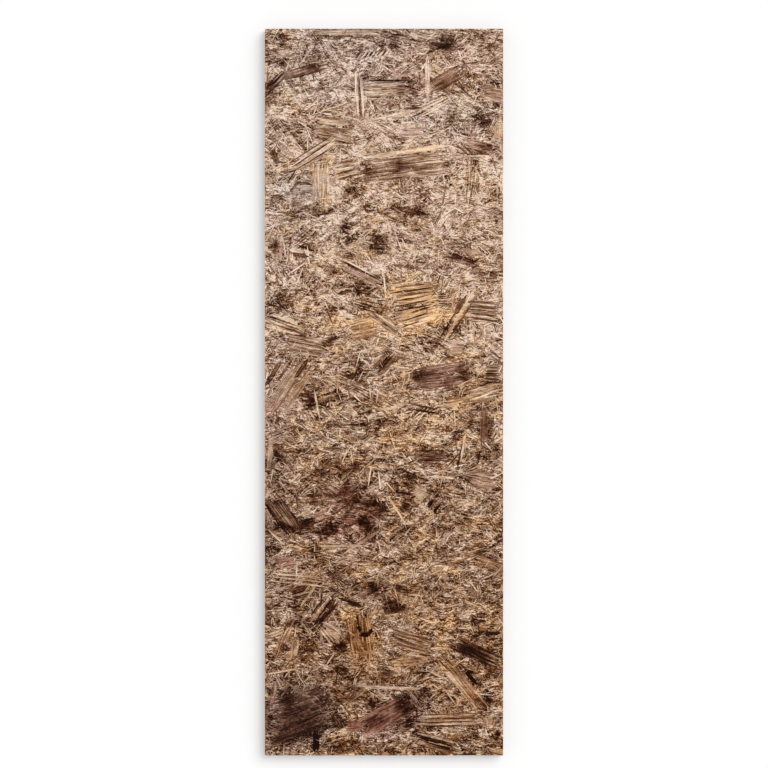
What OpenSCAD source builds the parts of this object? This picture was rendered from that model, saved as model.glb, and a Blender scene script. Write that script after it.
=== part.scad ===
// Oriented strand board (OSB) panel, with its face charred and then wire-brushed.
// The panel lies on its back: X runs across it, Y along it and Z up, out of the charred face.
// The origin is at the centre of the back face.
// It is one pressed board, so it is one solid. The brush has worn the resin-starved strands
// further down than the dense ones, which leaves the face in terraces of overlapping strands.

/* [Panel] */
// Length of the panel, which is the full width of the pressed sheet
panel_length = 1220; // [600:10:1220]
// Width of the panel, as ripped from the sheet
panel_width = 400; // [200:10:600]
// Thickness of the board over its highest strands
panel_thickness = 18; // [12:1:25]

/* [Charred face] */
// Depth from the highest strands to the most worn ones
brushed_depth = 0.9; // [0.3:0.1:1.2]
// How far the worn bevel on an arris reaches below the most worn strands
arris_wear = 0.1; // [0.1:0.1:1]
// Length of the longest strands
strand_length = 150; // [80:5:160]
// Width of the widest strands
strand_width = 34; // [15:1:45]
// Shortest and narrowest strand, as a share of the largest
smallest_strand_share = 0.45; // [0.3:0.05:0.9]
// Largest angle between a strand and the direction in which most of them lie
strand_scatter = 55; // [5:5:85]
// Part of the face that each layer of strands covers, before overlaps
layer_cover_share = 0.3; // [0.15:0.05:0.6]
// Number that picks one scatter of strands
strand_seed = 11; // [1:1:99]

/* [Sawn edges] */
// Spacing of the open voids between strands along a sawn edge
void_pitch = 60; // [40:5:120]
// Length of the longest void
void_length = 30; // [10:1:36]
// Height of the tallest void
void_height = 1.8; // [0.8:0.1:2.5]
// How far a void goes into the edge
void_depth = 3; // [1:0.5:6]
// Number that picks one scatter of voids
void_seed = 7; // [1:1:99]

/* [Hidden] */

// Layers of scattered strands under the top one, and the step between two layers
SCATTERED_LAYERS = 2;
layer_step = brushed_depth / (SCATTERED_LAYERS + 1);
// Bevel that burning and brushing leave on every arris
arris = brushed_depth + arris_wear;
// Strands of the top layer, which show whole: the centre's X and Y, the length, the width and
// the angle of each. A smaller panel is sawn out of the same lay of strands, so it cuts them off.
TOP_STRANDS = [
    [35, 378, 158, 35, 7], [40, 403, 160, 9, 8], [5, 510, 80, 28, 2], [-41, 500, 93, 11, 97],
    [-138, 536, 90, 14, 16], [104, 525, 70, 25, 35], [82, 480, 65, 14, 22], [-117, 400, 98, 20, 27],
    [-98, 345, 75, 20, 90], [-60, 375, 45, 27, 10], [131, 223, 60, 12, -16], [-38, 200, 76, 17, -27],
    [55, 166, 78, 36, 9], [57, 128, 82, 32, 14], [-32, 106, 56, 32, 15], [124, 122, 114, 10, 57],
    [163, 136, 57, 36, -4], [-168, 26, 95, 18, 55], [-142, 30, 90, 20, 55], [98, 28, 109, 30, 12],
    [150, -10, 82, 18, 18], [84, -108, 52, 14, 0], [-169, -207, 82, 30, -52], [-95, -371, 57, 16, 53],
    [-38, -415, 87, 40, 102], [153, -436, 96, 25, -23], [49, -418, 80, 30, -20],
    [134, -492, 125, 30, -50], [110, -553, 126, 19, 1], [0, -543, 105, 36, 30],
    [-150, -560, 110, 32, 30], [90, -592, 82, 24, -18]
];
// How far a cutting solid runs past the board that it cuts
past = 5;
// Width of the patch of face that one strand of a layer falls on, over its height
cell_aspect = 1.6;
// A ripped end of a strand is slanted by up to this share of the end's own length
end_slant_share = 0.9;
// A strand narrows towards its ends by up to this share of its width
end_taper_share = 0.35;
// Voids keep to this middle share of the thickness, where the coarse core strands are
core_share = 0.6;
// A void and its play fill at most this share of its bay, so that neighbours stay apart
largest_void_share = 0.8;
// Shortest and lowest void, as a share of the largest
smallest_void_share = 0.35;
CHARRED_WOOD = "#97785f";

function layer_floor(layer) = panel_thickness - brushed_depth + layer * layer_step;
function between(low, high, share) = low + (high - low) * share;

// A strand is split along its grain, so its sides are straight and its two ends are ragged.
function strand_outline(length, width, slants, tapers) =
    let (half = length / 2, side = width / 2, end = min(width, length / 3))
    [
        [-half + slants[0] * end, -side * (1 - tapers[0])],
        [-half + end, -side],
        [half - end, -side],
        [half - slants[1] * end, -side * (1 - tapers[1])],
        [half, side * (1 - tapers[2])],
        [half - end, side],
        [-half + end, side],
        [-half, side * (1 - tapers[3])]
    ];

// One strand about its own centre, with its ends ragged by chance
module strand(length, width, seed) {
    chance = rands(0, 1, 6, seed);
    polygon(strand_outline(
        length,
        width,
        [for (i = [0, 1]) chance[i] * end_slant_share],
        [for (i = [2 : 5]) chance[i] * end_taper_share]
    ));
}

module top_strands() {
    for (i = [0 : len(TOP_STRANDS) - 1]) {
        laid = TOP_STRANDS[i];
        translate([laid[0], laid[1]])
            rotate(laid[4])
                strand(laid[2], laid[3], strand_seed + i * 100);
    }
}

// Strands of a lower layer fall in cells of a plain grid, one to a cell, each shifted and turned
// by chance. Each cell keeps its strand whatever the panel's size, because the board is pressed
// before it is sawn.
module scattered_strands(layer) {
    mean_size = (1 + smallest_strand_share) / 2;
    cell_area = mean_size * mean_size * strand_length * strand_width / layer_cover_share;
    cell_x = sqrt(cell_area * cell_aspect);
    cell_y = cell_area / cell_x;
    columns = ceil(panel_width / cell_x / 2);
    rows = ceil(panel_length / cell_y / 2);
    for (column = [-columns : columns - 1], row = [-rows : rows - 1]) {
        seed = strand_seed * 100000 + layer * 10000 + row * 100 + column;
        chance = rands(0, 1, 5, seed);
        turn = between(-1, 1, chance[2]);
        translate([(column + chance[0]) * cell_x, (row + chance[1]) * cell_y])
            rotate(strand_scatter * turn * abs(turn))
                strand(
                    strand_length * between(smallest_strand_share, 1, chance[3]),
                    strand_width * between(smallest_strand_share, 1, chance[4]),
                    seed + 0.5
                );
    }
}

// All strands that reach above the floor of a layer
module strands_from(layer) {
    top_strands();
    if (layer < SCATTERED_LAYERS)
        for (above = [layer : SCATTERED_LAYERS - 1]) scattered_strands(above);
}

// What the brush takes away above one terrace of the face. Each cut runs up past the board, so it
// takes the room of the cuts above it too, and no film is left where one cut ends on the next.
module worn_layer(layer) {
    translate([0, 0, layer_floor(layer)])
        linear_extrude(brushed_depth + past)
            difference() {
                square([panel_width + 2 * past, panel_length + 2 * past], center = true);
                strands_from(layer);
            }
}

// Rectangle with its corners bevelled by the arris
module bevelled_rectangle(width, height) {
    x = width / 2;
    y = height / 2;
    polygon([
        [-x + arris, -y], [x - arris, -y], [x, -y + arris], [x, y - arris],
        [x - arris, y], [-x + arris, y], [-x, y - arris], [-x, -y + arris]
    ]);
}

// The board as sawn: each pair of faces is bevelled where it meets the next.
module board() {
    translate([0, 0, panel_thickness / 2])
        intersection() {
            linear_extrude(panel_thickness, center = true)
                bevelled_rectangle(panel_width, panel_length);
            rotate([90, 0, 0])
                linear_extrude(panel_length, center = true)
                    bevelled_rectangle(panel_width, panel_thickness);
            rotate([90, 0, 90])
                linear_extrude(panel_width, center = true)
                    bevelled_rectangle(panel_length, panel_thickness);
        }
}

// Gaps between the core strands, cut open by the saw. They lie on the face of a sawn edge of
// the given length that looks along +X, in bays of equal length, so none reaches the edge's middle.
module edge_voids(edge_length, seed) {
    bays = 2 * max(1, floor(edge_length / void_pitch / 2));
    bay = edge_length / bays;
    for (i = [0 : bays - 1]) {
        chance = rands(0, 1, 4, seed + i);
        long = min(void_length, bay * largest_void_share) * between(smallest_void_share, 1, chance[0]);
        tall = void_height * between(smallest_void_share, 1, chance[1]);
        play = bay * largest_void_share - long;
        room = core_share * panel_thickness - tall;
        translate([
            -void_depth,
            (i + 0.5 - bays / 2) * bay + (chance[2] - 0.5) * play,
            panel_thickness / 2 + (chance[3] - 0.5) * room
        ])
            rotate([90, 0, 90])
                linear_extrude(void_depth + past)
                    polygon([
                        [-long / 2, 0], [-long / 5, -tall / 2], [long / 4, -tall / 2],
                        [long / 2, 0], [long / 5, tall / 2], [-long / 4, tall / 2]
                    ]);
    }
}

module sawn_edge_voids() {
    edges = [
        [0, panel_width / 2, panel_length],
        [90, panel_length / 2, panel_width],
        [180, panel_width / 2, panel_length],
        [270, panel_length / 2, panel_width]
    ];
    for (i = [0 : len(edges) - 1])
        rotate(edges[i][0])
            translate([edges[i][1], 0, 0])
                edge_voids(edges[i][2], void_seed * 1000 + i * 100);
}

module panel() {
    color(CHARRED_WOOD)
        difference() {
            board();
            for (layer = [0 : SCATTERED_LAYERS]) worn_layer(layer);
            sawn_edge_voids();
        }
}

panel();
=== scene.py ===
"""Looks of a charred and brushed panel of oriented strand board (OSB).

A plain board lies inside, and thin closed strands and fibres lie pressed together on its faces
and along its sawn edges. Sizes are in metres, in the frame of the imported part: X runs across the
panel, Y along it and Z up, out of the charred face.
"""

import itertools
import math
import random

import bmesh
import bpy
import numpy as np
from bpy.props import FloatProperty, FloatVectorProperty, IntProperty, PointerProperty
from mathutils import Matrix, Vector, noise


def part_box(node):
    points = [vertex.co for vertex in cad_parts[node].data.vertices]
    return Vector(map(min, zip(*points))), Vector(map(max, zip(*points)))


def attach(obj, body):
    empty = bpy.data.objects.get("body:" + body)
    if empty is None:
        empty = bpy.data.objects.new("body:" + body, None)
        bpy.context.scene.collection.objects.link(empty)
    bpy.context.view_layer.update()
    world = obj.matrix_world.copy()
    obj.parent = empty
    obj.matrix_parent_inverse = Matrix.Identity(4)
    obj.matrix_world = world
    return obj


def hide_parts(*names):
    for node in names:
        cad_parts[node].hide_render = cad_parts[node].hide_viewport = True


bl_info = {
    "name": "Charred OSB Panel",
    "version": (1, 0, 0),
    "blender": (4, 5, 0),
    "location": "View3D > Sidebar > OSB Panel",
    "description": "Builds a charred and brushed strand board panel on its packed frame",
    "category": "Add Mesh",
}

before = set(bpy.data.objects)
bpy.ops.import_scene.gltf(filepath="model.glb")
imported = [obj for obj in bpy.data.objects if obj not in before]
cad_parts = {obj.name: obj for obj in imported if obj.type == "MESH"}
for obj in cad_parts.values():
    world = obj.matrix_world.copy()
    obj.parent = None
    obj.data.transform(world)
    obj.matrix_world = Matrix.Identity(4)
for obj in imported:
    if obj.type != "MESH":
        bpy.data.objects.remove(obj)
LOW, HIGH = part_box("panel")
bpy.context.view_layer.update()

MM = 0.001

# ---- What lies where on the charred face, in millimetres and degrees ----

# Strands that show whole: the centre's X and Y, the length, the width and the angle, then in
# hundredths how light (0 to 100), how yellow (100) or rosy (-100) and how strongly lined it is,
# where it isn't plain and little lined
SHOWN_STRANDS = [
    # From the top edge down to the broad dark strand
    (-70, 604, 150, 9, 0, 56, 10, 30), (-169, 568, 24, 7, -28, 68, -20),
    (-138, 538, 95, 15, 15, 20, -10, 40), (-180, 522, 50, 12, 45, 30, -10, 40),
    (3, 510, 80, 26, 2, 68, 15, 50), (3, 523, 80, 3, 1, 14, 10), (-46, 504, 90, 4, 94, 74),
    (-41, 503, 88, 3, 94, 22, -10), (-37, 501, 84, 4, 94, 72), (73, 527, 84, 7, 91, 66, -25, 5),
    (104, 525, 72, 24, 31, 34, -30), (45, 476, 40, 3, 5, 18), (184, 500, 40, 24, -10, 51, -20, 30),
    (-88, 455, 60, 12, -6, 64, 30, 40), (5, 463, 123, 4, 13, 70, 10, 30),
    (-82, 432, 84, 24, -9, 48, 15, 50), (182, 447, 32, 12, 65, 50, 0, 90),
    (192, 437, 30, 10, 85, 58, 50, 20), (47, 436, 46, 16, 2, 58, -30, 60),
    (150, 413, 66, 20, -12, 42, -20, 70), (172, 411, 24, 13, -5, 22, -20, 30),
    (146, 396, 60, 3, 1, 74, 10), (-117, 400, 98, 20, 33, 65, 15, 40),
    (-184, 397, 35, 9, -65, 20, 20, 30), (-190, 388, 30, 3, -65, 70, 40),
    (40, 404, 160, 7, 8, 70, 30, 30), (35, 378, 160, 38, 7, 54, 5, 60),
    (-65, 375, 45, 27, 10, 58, 15, 50), (-106, 352, 75, 28, 90, 65, 45, 30),
    (-140, 340, 48, 14, 8, 50, -10, 40), (-151, 344, 26, 4, 45, 20), (-132, 350, 34, 4, -8, 20),
    # From there down to the pinkish strands on the left
    (48, 303, 64, 7, -13, 14, -10, 20), (-173, 245, 58, 5, 88, 62, -35),
    (-181, 236, 44, 6, 90, 48, -30, 20), (-150, 238, 30, 6, -12, 72, -10),
    (131, 223, 58, 9, -18, 22, -40, 30), (142, 236, 36, 7, -10, 52, -40), (32, 211, 42, 4, -10, 16),
    (-38, 198, 78, 16, -27, 46, -25, 60), (-42, 206, 74, 3, -27, 12), (-42, 209, 76, 2, -27, 76),
    (-66, 168, 30, 4, 18, 16), (55, 166, 80, 34, 9, 62, 40, 50), (57, 128, 82, 30, 15, 71, 30, 30),
    (-34, 108, 56, 34, 15, 45, 35, 50), (-3, 118, 90, 14, -36, 52, -30, 70),
    (163, 136, 60, 36, -4, 56, 10, 60), (127, 144, 34, 9, 60, 20, 0, 20), (122, 76, 26, 22, 0, 60, -50),
    (124, 125, 120, 5, 58, 60, 5), (117, 128, 104, 3, 58, 16), (130, 122, 90, 3, 58, 18),
    (-169, 113, 66, 22, -17, 70, 25, 50), (-130, 78, 74, 30, -10, 53, -15, 50),
    (-172, 8, 112, 12, 56, 48, 22, 20), (-158, 12, 110, 13, 56, 46, 27, 15),
    (-143, 6, 100, 13, 56, 54, 22, 30), (-165, 38, 50, 4, 57, 20), (-138, 40, 50, 6, 57, 26, -10, 20),
    (-184, 34, 52, 7, 57, 20), (-187, -20, 40, 18, 55, 53, -40, 20),
    # Round the middle
    (0, 48, 41, 22, 50, 32, -30, 20), (98, 28, 106, 38, 9, 42, -80, 40),
    (183, 32, 26, 28, 0, 42, -20, 30), (158, 0, 84, 20, 18, 60, 20, 60),
    (140, -14, 112, 14, 10, 56, 15, 60), (-112, -24, 60, 3, -80, 70, 10), (168, -58, 66, 13, 90, 50, -35),
    (133, -92, 60, 3, 80, 74, 20), (-191, -100, 60, 8, 85, 56, 20), (128, -106, 52, 3, 79, 20),
    (80, -109, 52, 24, 0, 48, -40, 50), (45, -137, 44, 3, -25, 20, -20), (96, -143, 50, 4, -4, 74, 10),
    (161, -147, 60, 26, -5, 55, -20, 30), (60, -168, 27, 18, -30, 60, -25, 5),
    (-169, -207, 82, 30, -53, 22, -15, 60), (-106, -207, 26, 14, 15, 50, -20),
    (-56, -215, 38, 10, -5, 46, -100, 30), (21, -197, 56, 3, -58, 72, 30), (-38, -252, 86, 4, 33, 72, 35),
    (-69, -258, 79, 4, 0, 70, 30), (-166, -286, 34, 18, 5, 50, -90), (172, -285, 58, 16, -18, 48, 45, 50),
    (170, -276, 50, 4, -18, 18, 10),
    # Round the knot
    (-127, -342, 50, 4, 54, 72, 10), (-134, -338, 40, 3, 54, 66), (-107, -365, 66, 4, 52, 70, 10),
    (-112, -361, 40, 3, 52, 20), (-97, -371, 60, 15, 55, 22, -30, 30), (-60, -351, 50, 4, -19, 16, -10),
    (-49, -358, 34, 3, -12, 20), (-142, -336, 40, 22, 15, 46, -10, 50),
    (-39, -412, 84, 40, 98, 46, 55, 50), (-41, -398, 16, 6, -65, -10, 0, 0),
    (-32, -407, 19, 7, 0, -10, 0, 0), (-23, -402, 12, 6, 55, -10, 0, 0), (-44, -384, 26, 3, -80, 20, 50),
    (-34, -426, 30, 3, -66, 20, 50), (-48, -402, 36, 3, -84, 30, 60),
    (-90, -404, 40, 22, -36, 56, 20, 40), (-165, -412, 40, 10, 65, 50, 10, 40),
    (-176, -428, 44, 9, 75, 52, 10, 40), (-150, -430, 36, 12, 80, 60, -10, 40),
    (-182, -405, 30, 8, 20, 56, 20, 30), (153, -436, 96, 24, -23, 36, -30, 60), (185, -405, 30, 5, 2, 10),
    (47, -419, 82, 28, -16, 49, 15, 40), (43, -452, 74, 12, 6, 56, 50, 30),
    # Down to the bottom edge
    (134, -492, 122, 22, -51, 57, 25, 40), (146, -480, 38, 5, -48, 10), (8, -496, 108, 5, -2, 66, 15, 30),
    (-165, -468, 66, 3, 8, 74, 30), (-67, -516, 38, 9, -32, 60, 30), (112, -549, 128, 19, 1, 65, 25, 30),
    (176, -552, 20, 20, 90, 50, 40, 20), (0, -545, 104, 34, 30, 52, -90, 20),
    (-49, -560, 34, 18, 10, 55, -100), (-150, -560, 110, 32, 25, 50, -15),
    (-142, -522, 100, 36, 15, 34, -15), (-135, -508, 99, 3, -37, 44, 10),
    (-187, -512, 54, 9, 78, 50, -60, 30), (-114, -586, 42, 10, 90, 10, -20),
    (90, -590, 82, 24, -14, 50, 10, 50),
]

# Fine lines that lie side by side or fan out: the first one's centre, the last one's centre, how
# many, their length and width, the first and the last angle, then in hundredths how light they
# are, and how yellow where they aren't plain
COMBS = [
    (-43, 566, 0, 569, 7, 14, 3, 55, 50, 12), (-40, 566, 3, 569, 7, 14, 2.4, 55, 50, 76),
    (-115, 598, -30, 596, 3, 44, 2.8, 0, 3, 30, 10), (80, 487, 86, 473, 4, 60, 2.6, 24, 29, 76, 40),
    (47, 443, 47, 430, 4, 42, 1.8, 2, 2, 36, -20), (135, 404, 140, 408, 2, 42, 2.6, -43, -42, 14),
    (-124, 406, -116, 393, 3, 84, 2.4, 33, 32, 20), (-68, 386, -60, 362, 4, 40, 3.4, 8, 16, 16),
    (34, 393, 36, 363, 7, 150, 1.8, 7, 7, 36, -10), (-112, 352, -98, 352, 3, 62, 2, 90, 90, 50, 10),
    (-66, 286, -58, 250, 5, 18, 4, -30, -20, 32, -10), (-12, 262, -6, 234, 5, 26, 3, -5, -5, 30, -10),
    (-141, 231, -131, 240, 2, 34, 4.2, -15, -22, 14), (45, 179, 48, 142, 6, 66, 2.4, 7, 12, 22, 30),
    (60, 138, 44, 114, 3, 44, 2.6, 14, 22, 26, 30), (98, 165, 98, 149, 5, 17, 2, 0, 0, 20, 10),
    (160, 151, 168, 122, 5, 56, 3.2, -2, -8, 18, 10), (-30, 152, -22, 136, 4, 50, 2.4, -14, -18, 22, 10),
    (-172, 120, -160, 106, 3, 64, 2.6, -17, -19, 28, 10),
    (-132, 86, -126, 66, 4, 60, 2.4, -14, -8, 28, -20), (180, 41, 182, 16, 6, 28, 2.6, 2, -2, 18, -20),
    (66, -24, 70, -32, 2, 56, 3.2, -12, -10, 16, -40), (80, -99, 82, -120, 6, 50, 2.4, 2, -2, 22, -40),
    (145, -152, 146, -124, 8, 36, 1.7, -34, 30, 27, -10), (150, -150, 150, -128, 7, 46, 1.6, -26, 28, 62),
    (78, -187, 88, -197, 2, 18, 5, 60, 52, 8), (-184, -202, -156, -208, 6, 70, 1.8, -52, -54, 48, 10),
    (-150, -306, -140, -322, 3, 100, 3, -4, -8, 72, 10),
    (-142, -326, -141, -346, 5, 36, 2.2, 14, 16, 24, -10),
    (-96, -414, -84, -392, 6, 38, 2, -52, -20, 68, 20),
    (47, -408, 47, -430, 4, 76, 2.4, -16, -18, 30, 10),
    (176, -440, 168, -452, 3, 50, 1.8, -23, -24, 72, 10),
    (100, -458, 108, -452, 2, 30, 2.4, -45, -45, 20, 20),
    (113, -540, 110, -560, 4, 124, 2.2, 0, 1, 36, 10),
    (-150, -520, -140, -572, 4, 80, 3, 20, 24, 40, -40),
    (80, -582, 98, -597, 5, 66, 3.2, -14, -15, 16, 10),
    (84, -586, 96, -596, 3, 60, 2.4, -14, -15, 74, 20),
]

# Burnt marks, and among the deep ones one painted shadow: the centre's X and Y, the two half-widths, and
# the angle where it isn't 0
DEEP_BURNS_AND_SHADOW = [
    (107, 581, 15, 17), (165, 455, 16, 14, -40), (29, 381, 14, 13), (-54, 337, 13, 8),
    # The mark at -36, 176 is painted shadow, the shade under the strand at -38, 198
    (-62, 267, 10, 20, 10), (-9, 248, 17, 16), (-36, 176, 20, 10, -8), (-90, 85, 10, 9),
    (66, 26, 24, 13, 10), (-126, -16, 12, 12), (39, -180, 9, 26, 8), (88, 80, 13, 11),
    (-131, -223, 13, 11), (-93, -227, 15, 11, 20), (-16, -332, 13, 11), (101, -231, 9, 7),
    (14, -359, 17, 16), (-82, -338, 9, 7), (-74, -429, 17, 11, 5), (149, -437, 26, 9, -25),
    (34, -526, 16, 18, 20), (-114, -586, 6, 22),
]
LIGHT_BURNS = [
    (17, 588, 13, 12), (-168, 592, 12, 12), (-168, 556, 12, 10), (-190, 513, 16, 12, 60),
    (82, 581, 12, 12), (30, 427, 11, 8), (-27, 368, 16, 12, 5), (-185, 327, 12, 9), (183, 335, 10, 9),
    (21, 312, 16, 9), (48, 303, 38, 6, -13), (35, 284, 16, 7, -35), (-158, 299, 12, 10),
    (-107, 306, 16, 14, -40), (-187, 250, 14, 9), (131, 226, 30, 7, -18), (-168, 150, 25, 15, -5),
    (-130, 135, 9, 10), (-87, 136, 10, 10), (-150, 100, 18, 5, -10), (2, 50, 10, 18, -40),
    (134, 33, 14, 15, 10), (-39, 16, 12, 13), (-193, 42, 4, 10, -30), (66, -28, 34, 6, -10),
    (168, -64, 9, 34), (118, -71, 11, 9), (100, -58, 8, 8), (-178, -105, 7, 18, 20),
    (-72, -124, 36, 10, -5), (138, -146, 16, 11, -10), (-18, -188, 24, 18, -20), (-66, -165, 18, 8),
    (-32, -218, 15, 11), (84, -190, 10, 12, 30), (98, -230, 18, 13), (-170, -228, 24, 8, -5),
    (-146, -365, 7, 14), (-127, -428, 15, 11), (-168, -432, 9, 9), (-154, -390, 12, 7, 10),
    (-163, -514, 14, 22), (-168, -578, 24, 12, 25), (-76, -465, 13, 11), (146, -480, 20, 6, -48),
    (172, -519, 8, 8), (-10, -550, 22, 9, 20), (-140, -560, 50, 34, 20), (-60, -590, 22, 7),
    (85, -588, 34, 7, -15), (188, -572, 11, 9),
]

# How much lighter the charred face is at places along Y, in hundredths
LIGHT_ALONG = [
    (-534, -3.5), (-381, -4.8), (-229, 0.8), (-76, 0), (76, 8), (229, 9.5), (381, 11.5), (534, 6.5),
]

# Broad patches: the centre's X and Y and the two half-widths, then in hundredths how much lighter
# than the rest of the face, how much more yellow (above 0) or rosy (below 0), and how much
# greyer, and last the angle. Zeros at a row's end are left out.
PATCHES = [
    # Along the left edge
    (-184, 60, 26, 640, 0, 0, 10),
    # From the top edge down to the broad dark strand
    (0, 470, 190, 130, 5, -7), (-30, 430, 110, 120, 0, 6), (-40, 600, 210, 30, 0, 10, 15),
    (-80, 540, 130, 60, 0, 0, 15), (100, 470, 100, 40, 0, 0, 12), (134, 486, 28, 32, 4, 25, 10),
    (-30, 430, 190, 30, 5, 0, 5), (-140, 345, 46, 26, 0, 0, 25), (150, 340, 60, 60, 6),
    (-185, 560, 30, 60, -3), (0, 604, 200, 12, -8), (-130, 590, 90, 28, 8), (-75, 533, 34, 34, 10),
    (-180, 535, 26, 26, 6), (50, 505, 60, 40, -5), (150, 486, 60, 22, 6), (-125, 432, 34, 22, -19),
    (20, 435, 34, 24, 12), (125, 438, 32, 30, 10), (178, 427, 24, 22, -9), (178, 533, 26, 24, 7),
    (178, 378, 28, 24, 8), (-140, 382, 50, 24, 12), (-75, 332, 26, 24, 10), (75, 325, 90, 22, 5),
    (-120, 330, 26, 20, -4), (-172, 335, 26, 20, 7), (-30, 455, 26, 46, -3.5), (-150, 482, 48, 22, -3),
    (25, 482, 26, 24, -5), (75, 374, 28, 22, -4), (75, 585, 26, 22, 7.5),
    # From there down to the yellow strands
    (-110, 290, 80, 50, 2, 0, 10), (-75, 279, 26, 22, 5), (75, 275, 110, 24, 8, 5),
    (-20, 228, 160, 24, 10), (-125, 228, 26, 22, 8), (48, 255, 56, 40, 6), (75, 281, 26, 22, -6),
    (-25, 281, 26, 22, -5.5), (-180, 228, 26, 24, -8.5), (-125, 76, 22, 18, 4), (25, 120, 22, 20, -4),
    (-125, 130, 24, 22, -4), (-168, 150, 32, 20, -3, 0, 0, -5), (-25, 100, 28, 54, 3.5),
    (-80, 180, 90, 22, -7), (160, 145, 50, 64, 7), (56, 148, 100, 54, 5, 30, 0, 10),
    (-60, 110, 60, 40, 0, 30, 0, 10), (-50, 125, 50, 20, 10), (60, 120, 150, 26, 3, 15),
    (130, 76, 80, 24, 6, 15), (-60, 76, 80, 22, 3),
    # Round the middle
    (98, 28, 54, 20, 0, 0, 10, 9), (160, 0, 60, 44, -3, 20), (-182, -20, 30, 30, 3, -45),
    (-120, 5, 34, 44, -8), (10, 20, 48, 34, 12), (-182, 32, 24, 34, 10), (70, 30, 90, 150, 0, 15),
    (20, -60, 150, 60, 4, 10), (76, -52, 60, 50, 13), (125, -55, 24, 44, -3.5), (5, -120, 22, 20, -4, 5),
    (100, -24, 54, 20, -4.5), (75, -80, 26, 20, 4), (180, -76, 24, 24, 10), (-50, -166, 56, 12, 7),
    (150, -76, 60, 22, 9), (-25, -76, 24, 20, -5), (125, -48, 28, 44, -5), (-100, -90, 100, 50, 0, 5),
    (75, -126, 26, 20, -6), (-174, -126, 26, 20, -5), (-52, -202, 70, 58, -10, -80),
    (-50, -212, 26, 24, -8), (-106, -207, 20, 14, 24, 40), (-155, -200, 50, 50, -8),
    (-14, -172, 24, 18, 10), (0, -200, 70, 60, 2, 30), (60, -232, 70, 26, 9, 10),
    (160, -230, 50, 60, 3, 15), (-125, -279, 30, 22, -10), (25, -282, 30, 24, -11),
    (-25, -328, 26, 24, -6), (75, -282, 26, 20, 7), (155, -279, 60, 22, -4), (75, -330, 26, 22, -3),
    (178, -330, 26, 24, -5.5), (14, -359, 20, 18, 5), (-95, -230, 16, 12, 8), (-25, -177, 20, 16, 3),
    (126, -228, 24, 22, -8.5), (-180, -588, 24, 18, -5),
    # Round the knot
    (40, -330, 110, 60, 3, 20), (-40, -325, 150, 22, -6), (-90, -380, 80, 40, -4, -20, 0, 30),
    (-130, -382, 60, 20, 9), (60, -378, 150, 22, 6, 15), (-40, -415, 30, 56, 2, 70, 0, 10),
    (-153, -425, 46, 34, 3, 40), (25, -431, 26, 20, 5, 10), (170, -440, 50, 40, -8, 10),
    (125, -329, 28, 22, 6), (130, -492, 80, 40, 4, 20, 0, -50),
    # Down to the bottom edge
    (-74, -484, 26, 20, -5), (28, -532, 24, 20, -5), (-180, -482, 24, 20, -3.5), (74, -585, 24, 20, 7),
    (-74, -500, 30, 46, -5), (60, -490, 44, 24, -6, 10), (150, -482, 50, 22, 10),
    (-142, -543, 64, 58, -4, -30, 25), (-186, -545, 14, 34, 4, -50), (20, -545, 70, 34, -2, -80, 10, 30),
    (145, -530, 50, 24, -12), (0, -600, 200, 24, -4, 5), (-20, -588, 60, 20, 11, 10),
    (105, -583, 60, 22, 12), (-132, -592, 44, 16, 12),
]

# Width of one sliver of a split strand, in millimetres
SLIVER = 5.0
# Multiples of this share of one, less their whole part, never come close together
GOLDEN_SHARE = 0.618034
# Depth over which the strands that show whole are spread, each at its own height
SHOWN_SPREAD = 0.00004
# How far the saw tears the end of a strand in from the cut
SAW_TEAR = 0.0001
# Picks one way in which the outlines of the burnt marks and of the painted shadow wander
WEAR_SEED = 3
# How much darker the burnt marks are, the painted shadow among the deep ones too, and the tops of the edges
DEEP_BURN, LIGHT_BURN, SCORCH = -0.42, -0.34, -0.24
# How light everything comes to be in a burnt place, before the burn darkens it
BURNT_TONE = 0.46
# How light a dark fibre and a pale one are
FIBRE_TONES = (0.24, 0.66)
# Grids on the board's faces and up its edges, their last lines in from an arris, and how rough
# the board is
BOARD_GRID, EDGE_GRID, BOARD_RIM, EDGE_RIM = 0.006, 0.0025, 0.0006, 0.0004
BOARD_ROUGHNESS = 0.0004
# A strand at a corner reaches between these along each edge
CORNER_REACH = (0.008, 0.03)
# Lengths of the cut strands in the coarse core and in the faces, and the share left as voids
CORE_LENGTHS, FACE_LENGTHS = (0.012, 0.045), (0.02, 0.1)
CORE_VOIDS, FACE_VOIDS = 0.14, 0.05
# Empty border round the baking maps, and the strips into which the map of the edges is cut
MAP_MARGIN = 0.004
MAP_STRIPS = 8
LONG_EDGE_STRIPS = 3
# Length of edge that one strip takes: a short edge, with room for what juts past its part
STRIP_LENGTH = 2 * HIGH.x + 0.12
# How far the camera stands off the middle along Y, and the floor's size and glow
CAMERA_SHIFT = 0.0136
FLOOR_REACH = 12.0
FLOOR_GLOW = 0.238


# ---- Settings ----


def linear(colour):
    """A colour written as it looks (0 to 255) as the linear values that shaders take."""
    shares = [value / 255 for value in colour]
    return tuple(c / 12.92 if c <= 0.04045 else ((c + 0.055) / 1.055) ** 2.4 for c in shares)


def size_setting(name, default, about):
    return FloatProperty(name=name, description=about, default=default, min=0.0, unit="LENGTH")


def count_setting(name, default, about):
    return IntProperty(name=name, description=about, default=default, min=0)


def colour_setting(name, default, about):
    return FloatVectorProperty(name=name, description=about, default=default, min=0.0, subtype="COLOR")


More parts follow.
